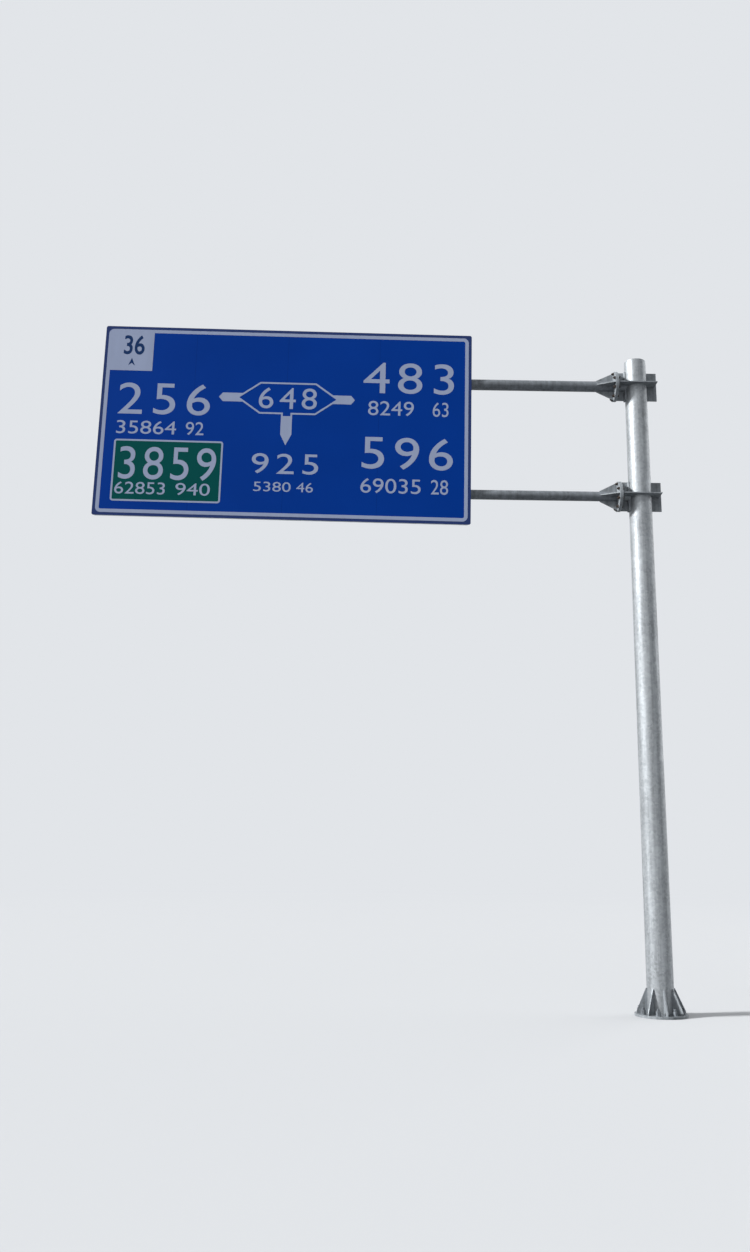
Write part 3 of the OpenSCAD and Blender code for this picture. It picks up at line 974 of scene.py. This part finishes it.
def round_bead(place, ring, start, end, radius):
    """A weld bead round the Z axis of a place, from one angle to another."""
    start_piece("circle", vertices=6, radius=radius, fill_type="NGON",
                location=(ring, 0, 0), rotation=(math.pi / 2, 0, 0))
    pick_all()
    angle = end - start
    steps = max(3, int(ring * angle / (radius * PUDDLE)))
    bpy.ops.mesh.spin(steps=steps, angle=angle, center=(0, 0, 0), axis=(0, 0, 1))
    pick_all()
    bpy.ops.mesh.remove_doubles(threshold=0.1 * MM)
    bpy.ops.mesh.normals_make_consistent(inside=False)
    bead = shut_mesh()
    bead.data.transform(place @ turned(start, "Z"))
    return bead


def hand_over_weld(beads, name, look="weld_zinc", ripple=1.6 * MM):
    """Joins beads into a weld, roughens it as its puddles froze and hands it over."""
    weld = join(beads, name)
    cloud = bpy.data.textures.new("weld_puddles", "CLOUDS")
    cloud.noise_scale = 7 * MM
    apply_modifier("DISPLACE", texture=cloud, strength=ripple, mid_level=0.5)
    hand_over(weld, look)


class GANTRY_OT_base_welds(bpy.types.Operator):
    """Lays the welds at the foot of the mast and the seam up its back"""
    bl_idname = "gantry.base_welds"
    bl_label = "Base welds"

    gussets, gusset_t, snipe, edge = 8, 12 * MM, 22 * MM, 14 * MM
    # How near the ring weld comes to a gusset's middle, against half its thickness and its snipe
    keep_off = 0.3

    def execute(self, context):
        bead = context.scene.gantry_fasteners.bead
        low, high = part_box("base_gussets")
        foot = mast_r(low.z)
        gap = (self.gusset_t / 2 + self.snipe) / foot * self.keep_off
        step = math.tau / self.gussets
        runs = []
        for y in (-self.gusset_t / 2, self.gusset_t / 2):
            runs += [((foot, y, low.z + self.snipe), (mast_r(high.z), y, high.z - self.edge)),
                     ((foot + self.snipe, y, low.z), (high.x - self.edge, y, low.z))]
        beads = []
        for i in range(self.gussets):
            beads.append(round_bead(moved(z=low.z), foot, i * step + gap, (i + 1) * step - gap, bead))
            beads += straight_beads(turned(i * step, "Z"), runs, bead)
        hand_over_weld(beads, "base_welds")
        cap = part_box("mast_cap")[0].z
        seam = straight_beads(Matrix(), [((0, foot, low.z), (0, mast_r(cap), cap))], bead * 0.5)
        hand_over_weld(seam, "mast_seam", "bright_zinc", 0.8 * MM)
        return {"FINISHED"}


class GANTRY_OT_joint_welds(bpy.types.Operator):
    """Lays the welds of the flanges, gussets, ribs and level plates of both arms"""
    bl_idname = "gantry.joint_welds"
    bl_label = "Joint welds"

    rib_t, snipe = 12 * MM, 16 * MM

    def execute(self, context):
        bead = context.scene.gantry_fasteners.bead
        for side in ARMS:
            beads = self.arm_beads(side, bead) + self.mast_beads(side, bead)
            hand_over_weld(beads, f"{side}_welds")
        return {"FINISHED"}

    def arm_beads(self, side, bead):
        """Arm to flange, and both sides of the four gussets."""
        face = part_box(f"{side}_arm_flange")[0].x
        nose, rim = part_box(f"{side}_arm_gussets")[0].x, span(f"{side}_arm_gussets").z / 2
        r, z = arm_r(side), arm_z(side)
        along = moved(face, 0, z) @ turned(math.pi / 2, "Y")
        gap, quarter = (self.rib_t / 2 + bead) / r, math.pi / 2
        runs = []
        for y in (-self.rib_t / 2, self.rib_t / 2):
            runs += [((face - self.snipe, y, r), (nose, y, r)),
                     ((face, y, r + self.snipe), (face, y, rim - bead))]
        beads = []
        for i in range(4):
            beads.append(round_bead(along, r, i * quarter + gap, (i + 1) * quarter - gap, bead))
            gusset = moved(z=z) @ turned(i * quarter, "X")
            beads += straight_beads(gusset, runs, bead * JOINT_BEAD)
        return beads

    def mast_beads(self, side, bead):
        """Level plate to mast and flange, far ribs to mast and plate, and stub ribs to flange."""
        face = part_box(f"{side}_mast_flange")[1].x
        z, r = arm_z(side), arm_r(side)
        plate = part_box(f"{side}_ring_plate")[1]
        half_pad, half_rib = span(f"{side}_pads").y / 2, span(f"{side}_far_ribs").z / 2
        beads = []
        for way in (-1, 1):
            level, rib_end = way * self.rib_t / 2, way * half_rib
            ring = mast_r(z + level)
            pad_gap, rib_gap = math.asin(half_pad / ring), self.rib_t / 2 / ring
            beads += [round_bead(moved(z=z + level), ring, start, end, bead) for start, end in
                      ((rib_gap, math.pi - pad_gap), (math.pi + pad_gap, math.tau - rib_gap))]
            runs = []
            for cheek in (-1, 1):
                y = cheek * self.rib_t / 2
                runs += [((mast_r(z + rib_end), y, rib_end), (ring, y, level + way * self.snipe)),
                         ((ring + self.snipe, y, level), (plate.x, y, level)),
                         ((face, y, rib_end), (face, y, way * (r + self.snipe))),
                         ((face, cheek * (r + bead), level), (face, cheek * plate.y, level))]
            beads += straight_beads(moved(z=z), runs, bead * JOINT_BEAD)
        return beads


# Studio


class StudioSettings(bpy.types.PropertyGroup):
    """Camera, lamps and floor."""
    eye: FloatVectorProperty(name="Eye", description="Place of the camera", size=3, unit="LENGTH",
                             default=(-3.207, -12.126, 1.6), subtype="TRANSLATION")
    yaw: angle_property("Yaw", "Turn of the camera to the left of straight ahead", -0.47)
    pitch: angle_property("Pitch", "Tilt of the camera upwards", 12.145)
    roll: angle_property("Roll", "Roll of the camera", -0.726)
    lens: number_property("Lens", "Focal length, in millimetres on a 36 mm frame", 31.12)
    key: number_property("Key lamp", "Strength of the main lamp", 5.8)
    cloud: number_property("Cloud lamp", "Strength of the wide lamp round the main one", 0.7)
    rim: number_property("Rim lamp", "Strength of the lamp behind", 1.4)
    ambient: number_property("Ambient", "Strength of the soft light from all round", 0.38)
    backdrop: colour_property("Backdrop", "Colour behind the object", "#e2e5e9")
    floor: colour_property("Floor", "Colour of the floor", "#b8babc")
    bounce: colour_property("Bounce", "Colour of the light that the floor throws back up", "#5a5c5e")


def seen_directly(add):
    """A node that gives 1 for what the camera, a reflection or a clear piece shows."""
    ray = add("LightPath").outputs
    other = add("Math", ray["Is Glossy Ray"], ray["Is Transmission Ray"], operation="MAXIMUM")
    return add("Math", ray["Is Camera Ray"], other, operation="MAXIMUM")


class GANTRY_OT_studio(bpy.types.Operator):
    """Builds the floor, the backdrop, the lamps and the camera"""
    bl_idname = "gantry.studio"
    bl_label = "Studio"

    # Radius of the floor, the reaches between which it fades into the backdrop, and how far the
    # lamps stand from the origin
    floor_r, fade_from, fade_to, lamp_r = 120.0, 9.0, 42.0, 12.0

    def execute(self, context):
        settings = context.scene.gantry_studio
        self.floor(settings)
        self.backdrop(context.scene, settings)
        # Azimuths are counted from the side that the sign faces, towards the arms' free ends
        self.lamp("key_lamp", 75, 31, settings.key, 8)
        self.lamp("cloud_lamp", 62, 18, settings.cloud, 80)
        self.lamp("rim_lamp", 245, 25, settings.rim, 60)
        self.camera(context.scene, settings)
        context.scene.view_settings.view_transform = "Standard"
        return {"FINISHED"}

    def floor(self, settings):
        deselect()
        bpy.ops.mesh.primitive_circle_add(vertices=96, radius=self.floor_r, fill_type="NGON",
                                          location=(0, 0, -1 * MM))
        floor = named("studio_floor")
        material = bpy.data.materials.new("studio_floor")
        add = new_tree(material)
        seen = seen_directly(add)
        # The floor looks pale, but throws back only as much light as dark ground would
        colour = add("Mix", seen, A=(*settings.bounce, 1), B=(*settings.floor, 1), data_type="RGBA")
        shader = add("BsdfPrincipled", Base_Color=colour, Roughness=0.9, Specular_IOR_Level=0.1)
        spot = add("TexCoord").outputs["Object"]
        reach = add("VectorMath", spot, operation="LENGTH")
        far = add("MapRange", reach, From_Min=self.fade_from, From_Max=self.fade_to,
                  interpolation_type="SMOOTHSTEP")
        share = add("Math", far, seen, operation="MULTIPLY")
        glow = add("Emission", Color=(*settings.backdrop, 1))
        mix = add("MixShader", share, shader, glow)
        add("OutputMaterial", mix)
        dress(floor, material)

    def backdrop(self, scene, settings):
        scene.world = bpy.data.worlds.new("studio_backdrop")
        add = new_tree(scene.world)
        soft = [settings.ambient * c for c in (0.97, 0.99, 1.04)]
        colour = add("Mix", seen_directly(add), A=(*soft, 1), B=(*settings.backdrop, 1),
                     data_type="RGBA")
        light = add("Background", Color=colour)
        add("OutputWorld", light)

    def lamp(self, name, azimuth, elevation, strength, softness):
        """A lamp so far away that its light is parallel, seen as a disc of this many degrees."""
        a, e = math.radians(azimuth), math.radians(elevation)
        towards = Vector((-math.sin(a) * math.cos(e), -math.cos(a) * math.cos(e), math.sin(e)))
        bpy.ops.object.light_add(type="SUN", location=towards * self.lamp_r)
        lamp = bpy.context.object
        lamp.name = name
        lamp.rotation_euler = towards.to_track_quat("Z", "Y").to_euler()
        lamp.data.energy = strength
        lamp.data.angle = math.radians(softness)

    def camera(self, scene, settings):
        bpy.ops.object.camera_add()
        camera = bpy.context.object
        camera.name = "camera"
        # A camera looks along its own -Z, so it is first raised to look along +Y
        camera.matrix_world = (moved(*settings.eye) @ turned(settings.yaw, "Z")
                               @ turned(settings.pitch, "X") @ turned(settings.roll, "Y")
                               @ turned(math.pi / 2, "X"))
        camera.data.lens = settings.lens
        camera.data.sensor_width = 36
        camera.data.clip_end = 500
        scene.camera = camera


# The add-on


GROUPS = {
    "gantry_film": FilmSizes,
    "gantry_fasteners": FastenerSizes,
    "gantry_colours": FinishColours,
    "gantry_studio": StudioSettings,
}
STEPS = (
    GANTRY_OT_finishes, GANTRY_OT_border, GANTRY_OT_corner_panel, GANTRY_OT_green_panel,
    GANTRY_OT_diagram, GANTRY_OT_legends, GANTRY_OT_flange_bolts, GANTRY_OT_anchor_nuts,
    GANTRY_OT_clamp_bolts, GANTRY_OT_rivets, GANTRY_OT_base_welds, GANTRY_OT_joint_welds,
    GANTRY_OT_studio,
)


class GANTRY_PT_sidebar(bpy.types.Panel):
    """Lists the steps that dress the gantry, and their sizes"""
    bl_label = "Sign gantry"
    bl_space_type = "VIEW_3D"
    bl_region_type = "UI"
    bl_category = "Gantry"

    def draw(self, context):
        for step in STEPS:
            self.layout.operator(step.bl_idname)
        for key, group in GROUPS.items():
            column = self.layout.column(align=True)
            for name in group.__annotations__:
                column.prop(getattr(context.scene, key), name)


def register():
    for cls in (*GROUPS.values(), *STEPS, GANTRY_PT_sidebar):
        bpy.utils.register_class(cls)
    for key, group in GROUPS.items():
        setattr(bpy.types.Scene, key, PointerProperty(type=group))


def unregister():
    for key in GROUPS:
        delattr(bpy.types.Scene, key)
    for cls in (GANTRY_PT_sidebar, *reversed(STEPS), *GROUPS.values()):
        bpy.utils.unregister_class(cls)


def main():
    register()
    for step in STEPS:
        group, name = step.bl_idname.split(".")
        getattr(getattr(bpy.ops, group), name)()


if __name__ == "__main__":
    main()
